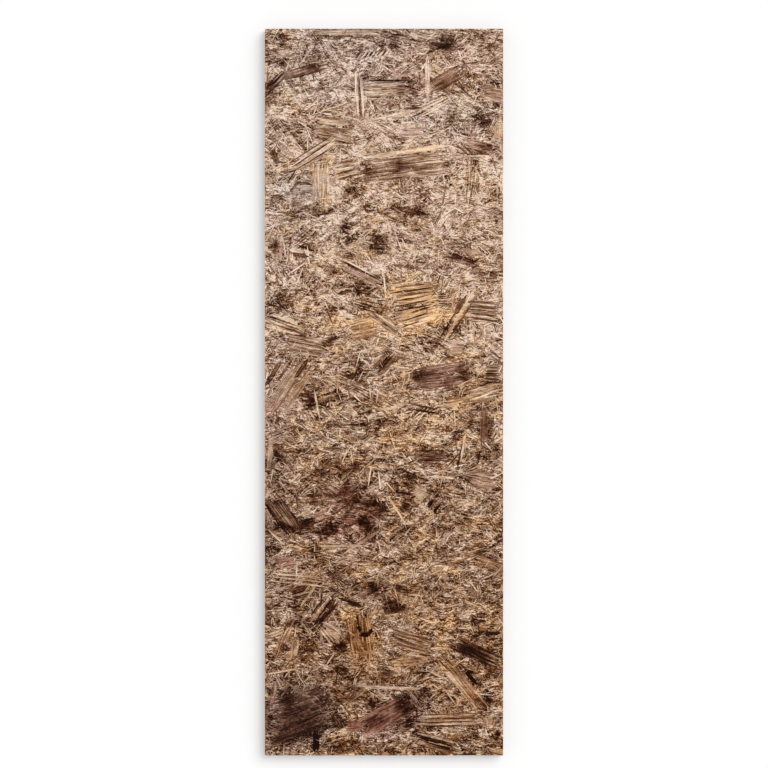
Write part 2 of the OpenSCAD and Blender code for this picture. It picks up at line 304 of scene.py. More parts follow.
class OSB_PG_strands(bpy.types.PropertyGroup):
    count: count_setting("Strands", 1100, "Scattered strands on the charred face")
    longest: size_setting("Longest", 0.15, "Length of the longest strand")
    shortest: size_setting("Shortest", 0.03, "Length of the shortest strand")
    widest: size_setting("Widest", 0.032, "Width of the widest strand")
    narrowest: size_setting("Narrowest", 0.004, "Width of the narrowest strand")
    thickness: size_setting("Thickness", 0.0004, "Thickness of one strand")
    bed: size_setting("Bed", 0.0009, "Depth in which the face strands lie")
    layer: size_setting("Layer", 0.0009, "Thickness of a strand pressed inside the board")
    cut_depth: size_setting("Cut depth", 0.005, "How far the strands at the edges go in")
    inset: size_setting("Inset", 0.0018, "Depth of the gaps between the strands at the edges")
    seed: count_setting("Seed", 4, "Picks one scatter of strands")


class OSB_PG_fibres(bpy.types.PropertyGroup):
    count: count_setting("Fibres", 9500, "Brushed fibres in one layer of the face")
    length: size_setting("Length", 0.03, "Length of the longest fibre")
    width: size_setting("Width", 0.0036, "Width of the widest splinter")
    swirl: size_setting("Swirl", 0.03, "Size of a patch of fibres that lie one way")
    seed: count_setting("Seed", 9, "Picks one scatter of fibres")


class OSB_PG_colours(bpy.types.PropertyGroup):
    char: colour_setting("Char", linear((26, 10, 4)), "Colour of the wood where it is blackest")
    grain: colour_setting("Grain", linear((240, 219, 199)), "Colour of the wood where it is palest")
    yellow: colour_setting("Yellow", (1.12, 0.9, 0.59), "Tint of the wood where it is yellowest")
    rosy: colour_setting("Rosy", (1.08, 0.86, 0.94), "Tint of the wood where it is rosiest")
    floor: colour_setting("Floor", (0.72, 0.72, 0.72), "Colour of the floor")


class OSB_PG_stage(bpy.types.PropertyGroup):
    lens: FloatProperty(
        name="Lens", description="Focal length of the camera", default=100.0, min=20.0, unit="CAMERA"
    )
    field: size_setting("Field", 1.289, "Width of floor that the camera sees")
    key: FloatProperty(name="Key", description="Strength of the key light", default=1.97, min=0.0)
    fill: FloatProperty(name="Fill", description="Strength of the light all round", default=0.62, min=0.0)


# ---- Node tools ----


def sum_node(operation):
    """A method of Value that adds the maths node for a sum."""
    return lambda value, other=0.0: value.nodes.math(operation, value, other)


class Value:
    """An output of a node. A sum with it adds a maths node, and gives that node's output."""

    def __init__(self, nodes, socket):
        self.nodes, self.socket = nodes, socket
        self.is_vector = socket.type in ("VECTOR", "RGBA")

    __add__, __sub__, __mul__ = sum_node("ADD"), sum_node("SUBTRACT"), sum_node("MULTIPLY")
    __truediv__, __pow__, __abs__ = sum_node("DIVIDE"), sum_node("POWER"), sum_node("ABSOLUTE")


class Nodes:
    """Adds nodes to one tree, and sets or links their inputs by name or number."""

    def __init__(self, tree):
        self.tree = tree

    def feed(self, socket, value):
        if isinstance(value, Value):
            self.tree.links.new(value.socket, socket)
        else:
            socket.default_value = value

    def add(self, kind, inputs=(), **settings):
        node = self.tree.nodes.new(kind)
        for name, value in settings.items():
            setattr(node, name, value)
        for key, value in dict(inputs).items():
            named = (s for s in node.inputs if s.name == key and s.enabled)
            self.feed(node.inputs[key] if isinstance(key, int) else next(named), value)
        return node

    def out(self, kind, inputs=(), output=None, **settings):
        """An output of a new node, by its name, or else the first that is in use."""
        sockets = self.add(kind, inputs, **settings).outputs
        return Value(self, next(s for s in sockets if s.enabled and output in (None, s.name)))

    def outs(self, kind, inputs=(), **settings):
        """All outputs of a new node by their names."""
        return {s.name: Value(self, s) for s in self.add(kind, inputs, **settings).outputs}

    def math(self, operation, a, b=0.0, clamp=False):
        """A maths node for numbers, or the one for vectors where the first term is a vector."""
        if a.is_vector:
            return self.out("ShaderNodeVectorMath", {0: a, 1: b}, operation=operation)
        return self.out("ShaderNodeMath", {0: a, 1: b}, operation=operation, use_clamp=clamp)

    def join(self, x=0.0, y=0.0, z=0.0):
        return self.out("ShaderNodeCombineXYZ", {0: x, 1: y, 2: z})

    def split(self, vector):
        return list(self.outs("ShaderNodeSeparateXYZ", {0: vector}).values())

    def ranged(self, value, low, high, to_low=0.0, to_high=1.0):
        """The value moved from between low and high to between to_low and to_high."""
        return self.out("ShaderNodeMapRange", enumerate((value, low, high, to_low, to_high)))

    def noise(self, vector, scale, detail=2.0, roughness=0.5, output="Fac"):
        inputs = {"Vector": vector, "Scale": scale, "Detail": detail, "Roughness": roughness}
        return self.out("ShaderNodeTexNoise", inputs, output)

    def mix(self, factor, a, b, blend="MIX"):
        """Two colours mixed."""
        node = self.add("ShaderNodeMix", data_type="RGBA", blend_type=blend)
        for index, value in ((0, factor), (6, a), (7, b)):
            self.feed(node.inputs[index], value)
        return Value(self, node.outputs[2])

    def place(self):
        """The place on the piece, in metres."""
        return self.out("ShaderNodeTexCoord", output="Object")

    def attribute(self, name, output="Vector"):
        """What the mesh holds under this name."""
        if self.tree.type == "SHADER":
            return self.out("ShaderNodeAttribute", output=output, attribute_name=name)
        kind = "GeometryNodeInputNamedAttribute"
        return self.out(kind, {"Name": name}, "Attribute", data_type="FLOAT_VECTOR")

    def group(self, tree, **inputs):
        """The outputs of a node group that is placed in this tree."""
        return self.outs("ShaderNodeGroup", inputs, node_tree=tree)

    def store(self, geometry, name, value):
        """The geometry with a vector at each of its points under this name."""
        inputs = {"Geometry": geometry, "Name": name, "Value": value}
        kind = "GeometryNodeStoreNamedAttribute"
        return self.out(kind, inputs, data_type="FLOAT_VECTOR", domain="POINT")

    def lay(self, points, shape):
        """The shape on each point, by the point's size and turn, with its own places kept as flake."""
        marked = self.store(shape, "flake", self.out("GeometryNodeInputPosition"))
        turn = self.out("FunctionNodeEulerToRotation", {0: self.attribute("turn")})
        inputs = {"Points": points, "Instance": marked, "Rotation": turn, "Scale": self.attribute("size")}
        laid = self.out("GeometryNodeInstanceOnPoints", inputs)
        return self.out("GeometryNodeRealizeInstances", {"Geometry": laid})

    def bend(self, loose, offset, finish):
        """The laid shapes moved by an offset that turns with each of them, in their finish."""
        turned = {"Vector": offset, "Angle": self.split(self.attribute("turn"))[2]}
        moved = self.out("ShaderNodeVectorRotate", turned, rotation_type="Z_AXIS")
        bent = self.out("GeometryNodeSetPosition", {"Geometry": loose, "Offset": moved})
        return self.out("GeometryNodeSetMaterial", {"Geometry": bent, "Material": finish})


def new_group(name, kind, inputs, outputs):
    """A node group, given its inputs as (name, kind of socket, default) and its outputs.

    Returns the tree, its nodes, its inputs' values by name and the sockets of its outputs.
    """
    tree = bpy.data.node_groups.new(name, kind)
    for label, socket, *default in inputs:
        item = tree.interface.new_socket(label, in_out="INPUT", socket_type="NodeSocket" + socket)
        if default:
            item.default_value = default[0]
    for label, socket in outputs:
        tree.interface.new_socket(label, in_out="OUTPUT", socket_type="NodeSocket" + socket)
    nodes = Nodes(tree)
    return tree, nodes, nodes.outs("NodeGroupInput"), nodes.add("NodeGroupOutput").inputs


# ---- Shader groups ----

# How charred wood looks between black char and clean brushed grain, by its lightness
WOOD_TONES = [
    (0.12, (63, 31, 15)), (0.25, (97, 62, 41)), (0.37, (128, 94, 70)), (0.49, (156, 124, 100)),
    (0.61, (184, 155, 131)), (0.73, (210, 183, 160)),
]
# How light the cleanest grain is
PALEST = 0.88
# Which way the wood wool lies: the angle in degrees, and the band of a noise in which it does
TUFTS = [(-20, -1.0, 0.42), (12, 0.42, 0.5), (55, 0.5, 0.56), (-65, 0.56, 2.0)]
# How far a tuft blends into its neighbour, in the same noise
TUFT_BLEND = 0.03
# Scale of a tuft's dashes along and across them
DASH_SCALE = (105, 420, 420)


def charred_wood_group(tints):
    """Colour of the wood from its lightness, its hue (yellow at 1, rosy at -1) and its greyness."""
    tree, nodes, given, made = new_group(
        "Charred wood colour", "ShaderNodeTree",
        [("Lightness", "Float", 0.5), ("Hue", "Float", 0.0), ("Grey", "Float", 0.0)], [("Color", "Color")],
    )
    ramp = nodes.add("ShaderNodeValToRGB", {"Fac": given["Lightness"]})
    stops = ramp.color_ramp.elements
    between = [(at, linear(colour)) for at, colour in WOOD_TONES]
    for _ in between:
        stops.new(0.5)
    for stop, (at, colour) in zip(stops, [(0.0, tints.char), *between, (PALEST, tints.grain)], strict=True):
        stop.position, stop.color = at, (*colour, 1)
    yellow = nodes.math("MAXIMUM", given["Hue"], 0.0, clamp=True)
    rosy = nodes.math("MULTIPLY", given["Hue"], -1.0, clamp=True)
    colour = nodes.mix(yellow, Value(nodes, ramp.outputs["Color"]), (*tints.yellow, 1), "MULTIPLY")
    colour = nodes.mix(rosy, colour, (*tints.rosy, 1), "MULTIPLY")
    colour = nodes.mix(given["Grey"], colour, nodes.out("ShaderNodeRGBToBW", {0: colour}))
    nodes.feed(made["Color"], colour)
    return tree


def grain_group():
    """Fine lines along a strand. Vector is the place along and across it, in metres."""
    tree, nodes, given, made = new_group(
        "Strand grain", "ShaderNodeTree",
        [("Vector", "Vector"), ("Strength", "Float", 0.5)], [("Grain", "Float"), ("Lines", "Float")],
    )
    broad = nodes.noise(given["Vector"] * (7, 150, 1), 1.0)
    fine = nodes.noise(given["Vector"] * (30, 560, 1), 1.0, 2.0, 0.6)
    thin_lines = nodes.ranged(abs(broad - 0.52), 0.01, 0.04, -0.6, 0.0)
    dark = nodes.math("MINIMUM", thin_lines, nodes.ranged(broad, 0.4, 0.45, -1.0, 0.0)) * given["Strength"]
    soft = (fine - 0.5) * (given["Strength"] + 0.5)
    nodes.feed(made["Grain"], soft * 1.5 + dark * 0.36)
    nodes.feed(made["Lines"], fine + dark)
    return tree


def matted_group():
    """Brushed wood wool: short pale dashes over dark gaps, in tufts that lie one way or another."""
    tree, nodes, given, made = new_group(
        "Matted fibres", "ShaderNodeTree", [("Vector", "Vector")], [("Mat", "Float")]
    )
    drift = nodes.noise(given["Vector"], 40.0, 1.0, output="Color") - (0.5, 0.5, 0.5)
    place = given["Vector"] + drift * (0.012, 0.012, 0.012)
    tufts = nodes.noise(place, 48.0, 2.0, 0.6)
    mat = (nodes.noise(place, 620.0, 1.0) - 0.5) * 0.5
    for turn, low, high in TUFTS:
        inputs = {"Vector": place, "Rotation": (0, 0, math.radians(turn)), "Scale": DASH_SCALE}
        dashes = nodes.noise(nodes.out("ShaderNodeMapping", inputs), 1.0, 2.0, 0.65)
        begun = nodes.ranged(tufts, low - TUFT_BLEND, low + TUFT_BLEND)
        ended = nodes.ranged(tufts, high - TUFT_BLEND, high + TUFT_BLEND, 1.0, 0.0)
        mat = mat + (dashes - 0.5) * (begun * ended)
    gaps = nodes.ranged(nodes.noise(place * (55, 95, 95), 1.0, 3.0, 0.6), 0.36, 0.64, -0.34, 0.14)
    nodes.feed(made["Mat"], mat * 2.6 + gaps)
    return tree


class Materials:
    """The panel's finishes, which share three node groups."""

    def __init__(self, tints):
        self.colour = charred_wood_group(tints)
        self.grain = grain_group()
        self.mat = matted_group()

    @staticmethod
    def start(name, roughness, specular=0.03):
        """A new material, its nodes and its shader."""
        material = bpy.data.materials.new(name)
        material.use_nodes = True
        nodes = Nodes(material.node_tree)
        shader = material.node_tree.nodes["Principled BSDF"]
        shader.inputs["Roughness"].default_value = roughness
        shader.inputs["Specular IOR Level"].default_value = specular
        return material, nodes, shader

    @staticmethod
    def wear_and_shadow(nodes, place):
        """How much lighter, more yellow and greyer than plain wood a place is, a little uneven."""
        light, warm, grey = nodes.split(nodes.attribute("wear_and_shadow"))
        uneven = nodes.ranged(nodes.noise(place, 260.0, 3.0, 0.7), 0.3, 0.7, 0.7, 1.3)
        return light * uneven, warm, grey

    @staticmethod
    def charred(nodes, tone, light):
        """The tone with the fire's marks and the painted shadow on it; in a burnt place, and in the painted
        shadow, everything is almost evenly dark.
        """
        burnt = nodes.ranged(light, -0.4, -0.12, 0.5, 0.0)
        return nodes.out("ShaderNodeMix", {"Factor": burnt, "A": tone, "B": BURNT_TONE}) + light

    def finish(self, nodes, shader, tone, hue, grey, height=None):
        """Gives the shader its colour, and raises its surface by a height of up to 0.4 mm."""
        colour = nodes.group(self.colour, Lightness=tone, Hue=hue, Grey=grey)["Color"]
        nodes.feed(shader.inputs["Base Color"], colour)
        if height is not None:
            bump = nodes.out("ShaderNodeBump", {"Height": height, "Strength": 1.0, "Distance": 0.0004})
            nodes.feed(shader.inputs["Normal"], bump)

    def strands(self):
        """Face of a strand: its own lightness, hue and grain, less what is burnt, with painted shade along
        its two long sides.
        """
        material, nodes, shader = self.start("Charred strand", 0.55)
        place = nodes.place()
        own, flake = nodes.split(nodes.attribute("finish")), nodes.attribute("flake")
        # The finish shifts the grain, so that no two strands have the same
        along = flake * nodes.attribute("size") + nodes.join(own[0], own[1], own[0] * 91.0)
        grain = nodes.group(self.grain, Vector=along, Strength=own[2])
        light, warm, grey = self.wear_and_shadow(nodes, place)
        mat = nodes.group(self.mat, Vector=place)["Mat"] * nodes.attribute("matted", "Fac")
        # Painted shade: each strand is darkened by up to 0.08 towards its long sides, where its thickness
        # would shade it
        side = abs(nodes.split(flake)[1]) + grain["Grain"] * 0.3
        tone = grain["Grain"] + mat + own[0] + nodes.ranged(side, 0.42, 0.52, 0.0, -0.08)
        tone = self.charred(nodes, tone, light)
        self.finish(nodes, shader, tone, own[1] + warm, grey, grain["Lines"] + mat)
        return material

    def fibres(self):
        """Brushed fibres: each has its own lightness and hue."""
        material, nodes, shader = self.start("Brushed fibre", 0.5)
        own = nodes.split(nodes.attribute("finish"))
        light, warm, grey = self.wear_and_shadow(nodes, nodes.place())
        self.finish(nodes, shader, self.charred(nodes, own[0], light), own[1] + warm, grey)
        return material

    def board(self):
        """The board behind the strands: dark, as char on the charred face and as painted shade in the voids
        between the edge strands, and matted on the charred face.
        """
        material, nodes, shader = self.start("Pressed board", 0.7)
        place = nodes.place()
        z = nodes.split(place)[2]
        upper = nodes.ranged(z, HIGH.z - 0.0022, HIGH.z - 0.0012)
        speck = nodes.noise(place * (60, 60, 700), 1.0, 3.0, 0.7)
        pressed = nodes.ranged(nodes.noise(place * (25, 300, 1), 1.0, 3.0, 0.6), 0.3, 0.7, 0.2, 0.5)
        back = nodes.ranged(z, LOW.z + 0.0015, LOW.z + 0.0008, 0.0, pressed)
        face = (nodes.group(self.mat, Vector=place)["Mat"] + 0.2) * upper
        light, warm, grey = self.wear_and_shadow(nodes, place)
        # Painted shade: the dark base tone stands for the shade in the voids where the board's sides show
        # between the edge strands; on the charred face it is char
        tone = nodes.ranged(speck, 0.3, 0.7, 0.1, 0.42) + back + face + light
        self.finish(nodes, shader, tone, warm + 0.1, grey, speck)
        return material


# ---- Geometry ----


def read(items, name, width=1, kind=np.float32):
    """One property of each item in a mesh's list, as an array with a row for each item."""
    values = np.empty(len(items) * width, kind)
    items.foreach_get(name, values)
    return values if width == 1 else values.reshape(-1, width)


def write(mesh, name, values, kind="FLOAT_VECTOR"):
    """Stores a value or a vector for each vertex."""
    data = mesh.attributes.new(name, kind, "POINT").data
    data.foreach_set("value" if kind == "FLOAT" else "vector", np.array(values, np.float32).ravel())


def add_object(name, mesh):
    ob = bpy.data.objects.new(name, mesh)
    bpy.context.scene.collection.objects.link(ob)
    return ob


def run_tree(name, mesh, tree, **inputs):
    """Runs a Geometry Nodes tree on a mesh, and returns a new object with the plain result."""
    ob = add_object(name, mesh)
    modifier = ob.modifiers.new("Make", "NODES")
    modifier.node_group = tree
    for item in tree.interface.items_tree:
        if item.name in inputs:
            modifier[item.identifier] = inputs[item.name]
    result = bpy.data.meshes.new_from_object(ob.evaluated_get(bpy.context.evaluated_depsgraph_get()))
    ob.modifiers.clear()
    ob.data = result
    result.name = name
    return ob


def saw_to_size(ob, outward=1):
    """Cuts a piece off at the panel's four edges, a little rough, and closes every cut.

    Its faces are then put in order from inside the board outwards, for lay_bake_map.
    """
    bm = bmesh.new()
    bm.from_mesh(ob.data)
    draw = random.Random(len(bm.verts))
    for axis, limit in ((0, LOW.x), (0, HIGH.x), (1, LOW.y), (1, HIGH.y)):
        normal = Vector((0, 0, 0))
        normal[axis] = math.copysign(1, limit)
        every = bm.verts[:] + bm.edges[:] + bm.faces[:]
        plane = {"plane_co": normal * abs(limit), "plane_no": normal}
        cut = bmesh.ops.bisect_plane(bm, geom=every, clear_outer=True, **plane)["geom_cut"]
        rim = [e for e in cut if isinstance(e, bmesh.types.BMEdge) and e.is_boundary]
        bmesh.ops.holes_fill(bm, edges=rim, sides=0)
        for vertex in [v for v in cut if isinstance(v, bmesh.types.BMVert)]:
            vertex.co -= normal * draw.uniform(0, SAW_TEAR)
    bmesh.ops.recalc_face_normals(bm, faces=bm.faces)
    bm.faces.sort(key=lambda face: face.calc_center_median().z * outward + (face.normal.z * outward > 0.5))
    bm.to_mesh(ob.data)
    bm.free()


def store_map(mesh, u, v):
    """Stores the baking map, which has one place for each face corner."""
    places = np.ascontiguousarray(np.stack([u, v], 1), np.float32)
    mesh.uv_layers.new(name="OFBake").data.foreach_set("uv", places.ravel())


def by_corner(mesh, values):
    """Rows of the vertices as one row for each face corner."""
    return values[read(mesh.loops, "vertex_index", kind=np.int32)]


def corner_normals(mesh):
    """Normals of the faces as one row for each face corner."""
    sizes = read(mesh.polygons, "loop_total", kind=np.int32)
    return np.repeat(read(mesh.polygons, "normal", 3), sizes, 0)


def lay_bake_map(mesh):
    """Maps a piece straight down on the panel's outline, where the outermost of its faces show."""
    x, y, _ = by_corner(mesh, read(mesh.vertices, "co", 3)).T
    ends = [MAP_MARGIN, 1 - MAP_MARGIN]
    store_map(mesh, np.interp(x, [LOW.x, HIGH.x], ends), np.interp(y, [LOW.y, HIGH.y], ends))


def lay_edge_map(mesh):
    """Maps the cut strands in strips, one above another, as each shows on its own edge."""
    places = by_corner(mesh, read(mesh.vertices, "co", 3))
    centres = by_corner(mesh, read(mesh.attributes["centre"].data, "vector", 3))
    beside = HIGH.x - np.abs(centres[:, 0]) < HIGH.y - np.abs(centres[:, 1])
    # A strand at a corner shows on two edges, so its cut faces go where each one shows
    outer = (np.abs(places) > np.array(HIGH) - 4 * SAW_TEAR) & (np.abs(corner_normals(mesh)) > 0.7)
    beside = outer[:, 0] | (beside & ~outer[:, 1])
    every, axis = np.arange(len(places)), np.where(beside, 1, 0)
    along, centre = places[every, axis], centres[every, axis]
    half = np.where(beside, HIGH.y, HIGH.x)
    # The strips are, from the lowest: three each of the edges at +X and at -X, and the short edges
    part = np.clip(np.floor((centre + half) / (2 * half) * LONG_EDGE_STRIPS), 0, LONG_EDGE_STRIPS - 1)
    long_strip = part + np.where(centres[:, 0] > 0, 0, LONG_EDGE_STRIPS)
    strip = np.where(beside, long_strip, 2 * LONG_EDGE_STRIPS + (centres[:, 1] <= 0))
    middle = np.where(beside, (part + 0.5) / LONG_EDGE_STRIPS * 2 * half - half, 0)
    u = np.clip((along - middle) / STRIP_LENGTH + 0.5, 0.002, 0.998)
    share = np.clip((places[:, 2] - LOW.z) / (HIGH.z - LOW.z), 0, 1)
    store_map(mesh, u, (strip + 0.05 + 0.9 * share) / MAP_STRIPS)


def lay_board_map(mesh):
    """Maps the board's charred face on one side, its back on the other and its edges between."""
    normals = corner_normals(mesh)
    x, y, z = ((by_corner(mesh, read(mesh.vertices, "co", 3)) - LOW) / (HIGH - LOW)).T
    face, back = normals[:, 2] > 0.6, normals[:, 2] < -0.6
    beside = np.abs(normals[:, 0]) > np.abs(normals[:, 1])
    side = np.where(beside, np.where(normals[:, 0] > 0, 0, 1), np.where(normals[:, 1] > 0, 2, 3))
    strip = 0.46 + 0.02 * (side + 0.1 + 0.8 * z)
    u = np.where(face, 0.01 + 0.43 * x, np.where(back, 0.56 + 0.43 * x, strip))
    store_map(mesh, u, 0.005 + 0.99 * np.where(face | back | beside, y, x))


def strand_tree():
    """Lays one closed flake on each point, shaped by the point's attributes."""
    tree, nodes, given, made = new_group(
        "Lay strands", "GeometryNodeTree",
        [
            ("Points", "Geometry"), ("Lengthwise", "Int", 7), ("Crosswise", "Int", 4),
            ("Raggedness", "Float", 0.5), ("Ripple", "Float", 0.001), ("Taper", "Float", 0.25),
            ("Thinning", "Float", 0.0), ("Curl", "Float", 0.0002), ("Finish", "Material"),
        ],
        [("Strands", "Geometry")],
    )
    rows = {"Vertices X": given["Lengthwise"], "Vertices Y": given["Crosswise"], "Vertices Z": 2}
    loose = nodes.lay(given["Points"], nodes.out("GeometryNodeMeshCube", {"Size": (1, 1, 1), **rows}))
    part, extent = nodes.split(nodes.attribute("flake")), nodes.split(nodes.attribute("size"))
    # Ripped ends: each corner of an end runs out or back along the grain by chance, which the
    # strand's own length tells apart from other strands'
    corner = {"Vector": nodes.join(part[0], part[1], extent[0] * 977.0)}
    chance = nodes.out("ShaderNodeTexWhiteNoise", corner, "Value", noise_dimensions="3D")
    end = nodes.ranged(abs(part[0]), 0.3, 0.5)
    sign = nodes.math("SIGN", part[0])
    out = (chance - 0.6) * sign * end * extent[1] * given["Raggedness"]
    # Splintered sides: they wander in and out along the strand
    here = nodes.out("GeometryNodeInputPosition")
    wander = (nodes.noise(here * (130, 130, 0), 1.0, 1.0) - 0.5) * given["Ripple"] * 4.0
    narrow = end * given["Taper"] * (part[1] * extent[1]) * -1.0
    curl = abs(part[0]) ** 2.0 * -4.0 * given["Curl"]
    thin = end * given["Thinning"] * (part[2] * extent[2])
    offset = nodes.join(out, wander + narrow, curl - thin)
    nodes.feed(made["Strands"], nodes.bend(loose, offset, given["Finish"]))
    return tree


def point_mesh(name, rows):
    """A mesh of bare points that hold rows of (place, size, turn, finish, matted) as attributes."""
    *vectors, matted = (np.array(column, np.float32) for column in zip(*rows))
    mesh = bpy.data.meshes.new(name)
    mesh.vertices.add(len(rows))
    mesh.vertices.foreach_set("co", vectors[0].ravel())
    for label, column in zip(("centre", "size", "turn", "finish"), vectors):
        write(mesh, label, column)
    write(mesh, "matted", matted, "FLOAT")
    return mesh


def fibre_tree():
    """Strews thin bent fibres over a face, in patches that lie one way."""
    tree, nodes, given, made = new_group(
        "Strew fibres", "GeometryNodeTree",
        [
            ("Face", "Geometry"), ("Density", "Float", 20000.0), ("Length", "Float", 0.03),
            ("Width", "Float", 0.002), ("Depth", "Float", 0.0006), ("Swirl", "Float", 0.03),
            ("Bow", "Float", 0.6), ("Darkness", "Float", 0.4), ("Seed", "Int", 1), ("Finish", "Material"),
        ],
        [("Fibres", "Geometry")],
    )

    def chance(low, high, salt):
        inputs = {"Min": low, "Max": high, "Seed": given["Seed"] + salt}
        return nodes.out("FunctionNodeRandomValue", inputs, data_type="FLOAT")

    inputs = {"Mesh": given["Face"], "Density": given["Density"], "Seed": given["Seed"]}
    points = nodes.out("GeometryNodeDistributePointsOnFaces", inputs, distribute_method="RANDOM")
    shifted = nodes.out("GeometryNodeInputPosition") + nodes.join(z=given["Seed"] * 0.37)
    swirl = nodes.noise(shifted / nodes.join(*[given["Swirl"]] * 3), 1.0, 1.0)
    turn = nodes.ranged(swirl, 0.25, 0.75, -2.2, 2.2) + chance(-0.35, 0.35, 30)
    length, width = given["Length"] * chance(0.3, 1.0, 40), given["Width"] * chance(0.45, 1.0, 50)
    kind = chance(-0.5, 0.5, 60) + (nodes.noise(shifted, 30.0, 2.0, 0.6) - 0.5) * 1.1
    shade = given["Darkness"] - 0.5
    light = nodes.ranged(kind, shade - 0.12, shade + 0.12, *FIBRE_TONES) + chance(-0.14, 0.22, 65)
    points = nodes.store(points, "size", nodes.join(length, width, given["Depth"]))
    points = nodes.store(points, "turn", nodes.join(0.0, chance(-0.02, 0.02, 9), turn))
    points = nodes.store(points, "finish", nodes.join(light, chance(-0.12, 0.17, 70), chance(0.0, 1.0, 80)))
    rod = {"Vertices": 3, "Side Segments": 3, "Radius": 0.5, "Depth": 1.0}
    rod = nodes.out("GeometryNodeMeshCylinder", rod, "Mesh", fill_type="NGON")
    lying = {"Geometry": rod, "Rotation": (0, math.radians(90), 0)}
    loose = nodes.lay(points, nodes.out("GeometryNodeTransform", lying))
    part, extent = nodes.split(nodes.attribute("flake")), nodes.split(nodes.attribute("size"))
    own = nodes.split(nodes.attribute("finish"))[2]
    reach = abs(part[0])
    bow = (own - 0.5) * (extent[0] * given["Bow"]) * reach ** 2.0
    pinch = nodes.ranged(reach, 0.2, 0.5, 0.0, -0.75) * (part[1] * extent[1])
    # A few fibres lie over the strands that show whole
    over = nodes.ranged(nodes.math("FRACT", own * 37.0), 0.86, 0.87, 0.0, 0.00035)
    nodes.feed(made["Fibres"], nodes.bend(loose, nodes.join(0.0, bow + pinch, over), given["Finish"]))
    return tree


def rectangle(name, low, high, z):
    """One level face from a low corner to a high one."""
    mesh = bpy.data.meshes.new(name)
    corners = [(low[0], low[1], z), (high[0], low[1], z), (high[0], high[1], z), (low[0], high[1], z)]
    mesh.from_pydata(corners, [], [range(4)])
    return mesh


def spaced(low, high, step, rim):
    """Places from low to high about a step apart, with one more line a rim inside each end."""
    inner = np.linspace(low + rim, high - rim, max(2, round((high - low) / step)))
    return np.concatenate([[low], inner, [high]])


def box_shell(lines):
    """Vertices and quads of a closed box, with a grid on each side from the lines along X, Y and Z."""
    index, quads = {}, []
    last = [len(line) - 1 for line in lines]
    for fixed, first, second in ((2, 0, 1), (1, 0, 2), (0, 1, 2)):
        for side in (0, last[fixed]):
            for a, b in itertools.product(range(last[first]), range(last[second])):
                ring = []
                for step_a, step_b in ((0, 0), (1, 0), (1, 1), (0, 1)):
                    at = {fixed: side, first: a + step_a, second: b + step_b}
                    ring.append(index.setdefault((at[0], at[1], at[2]), len(index)))
                # A ring that would face into the box is turned round
                quads.append(ring if bool(side) != (fixed == 1) else ring[::-1])
    return [[line[i] for line, i in zip(lines, at)] for at in index], quads


def filled(row, width):
    """The row with zeros in place of the values that are left out at its end."""
    return (*row, *[0] * (width - len(row)))


def oval(x, y, marks):
    """How far places are from the nearest of these oval marks, where 1 is on an oval's rim."""
    nearest = np.full(len(x), 9.0)
    for mark in marks:
        centre_x, centre_y, reach, width, turn = filled(mark, 5)
        dx, dy = x / MM - centre_x, y / MM - centre_y
        cos, sin = math.cos(math.radians(turn)), math.sin(math.radians(turn))
        along, across = (dx * cos + dy * sin) / reach, (dy * cos - dx * sin) / width
        nearest = np.minimum(nearest, np.hypot(along, across))
    return nearest


def eased(value, low, high):
    """1 up to low and 0 from high on, with a smooth fall between."""
    part = np.clip((value - low) / (high - low), 0, 1)
    return 1 - part * part * (3 - 2 * part)


def mark_wear_and_shadow(mesh, share=1.0):
    """Stores at each vertex how much lighter, yellower and greyer it is: the fire's and the brush's marks,
    one painted shadow among the deep burns, and a lightness that changes along Y.
    """
    co = read(mesh.vertices, "co", 3).astype(float)
    noise.seed_set(WEAR_SEED)
    drift = np.array([noise.noise_vector(Vector((x * 35, y * 55, 0))) for x, y, _ in co])
    fine = np.array([noise.noise_vector(Vector((x * 110, y * 150, 5))) for x, y, _ in co])
    x, y = (co + drift * 0.009 + fine * 0.005).T[:2]
    streaks = np.array([noise.turbulence(Vector((a * 12, b * 26, 3)), 3, True) for a, b in zip(x, y)])
    deep, slight = eased(oval(x, y, DEEP_BURNS_AND_SHADOW), 0.6, 1.35), eased(oval(x, y, LIGHT_BURNS), 0.5, 1.35)
    light = np.minimum(DEEP_BURN * deep, LIGHT_BURN * slight)
    light = np.minimum(light, np.interp(streaks, [0.2, 0.75], [0.05, -0.22]))
    places, lighter = zip(*LIGHT_ALONG)
    light += np.interp(co[:, 1] / MM, places, [value / 100 for value in lighter])
    warm = np.interp(co[:, 1], [LOW.y, HIGH.y], [0.2, -0.08])
    warm += 0.45 * drift[:, 2] + 0.8 * fine[:, 2]
    grey = 0.06 * deep
    for patch in PATCHES:
        *mark, lighter, yellower, greyer, turn = filled(patch, 8)
        inside = eased(oval(x, y, [(*mark, turn)]), 0.55, 1.3)
        light += lighter / 100 * inside
        warm += yellower / 100 * inside
        grey += greyer / 100 * inside
    # The fire reached a little way down the edges, and the back is clean
    depth = HIGH.z - co[:, 2]
    face = eased(depth, 0.0012, 0.0055)
    scorch = SCORCH * eased(depth, 0.0004, 0.007) * (depth > 0.0011)
    write(mesh, "wear_and_shadow", np.stack([light * share * face + scorch, warm * share * face, grey * face], 1))


def add_piece(ob, worn=1.0, lay_map=lay_bake_map):
    mark_wear_and_shadow(ob.data, worn)
    lay_map(ob.data)
    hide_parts("panel")
    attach(ob, "root")
    return ob


# ---- Operators ----

# The materials and Geometry Nodes trees, which main makes once, by name
shared = {}


def add_strands(name, rows, worn=1.0, outward=1, lay_map=lay_bake_map, **shape):
    """Makes one sawn piece of strands from their rows and the other inputs of their tree."""
    points = point_mesh(name + "_points", rows)
    ob = run_tree(name, points, shared["lay"], Finish=shared["strand"], **shape)
    saw_to_size(ob, outward)
    add_piece(ob, worn, lay_map)


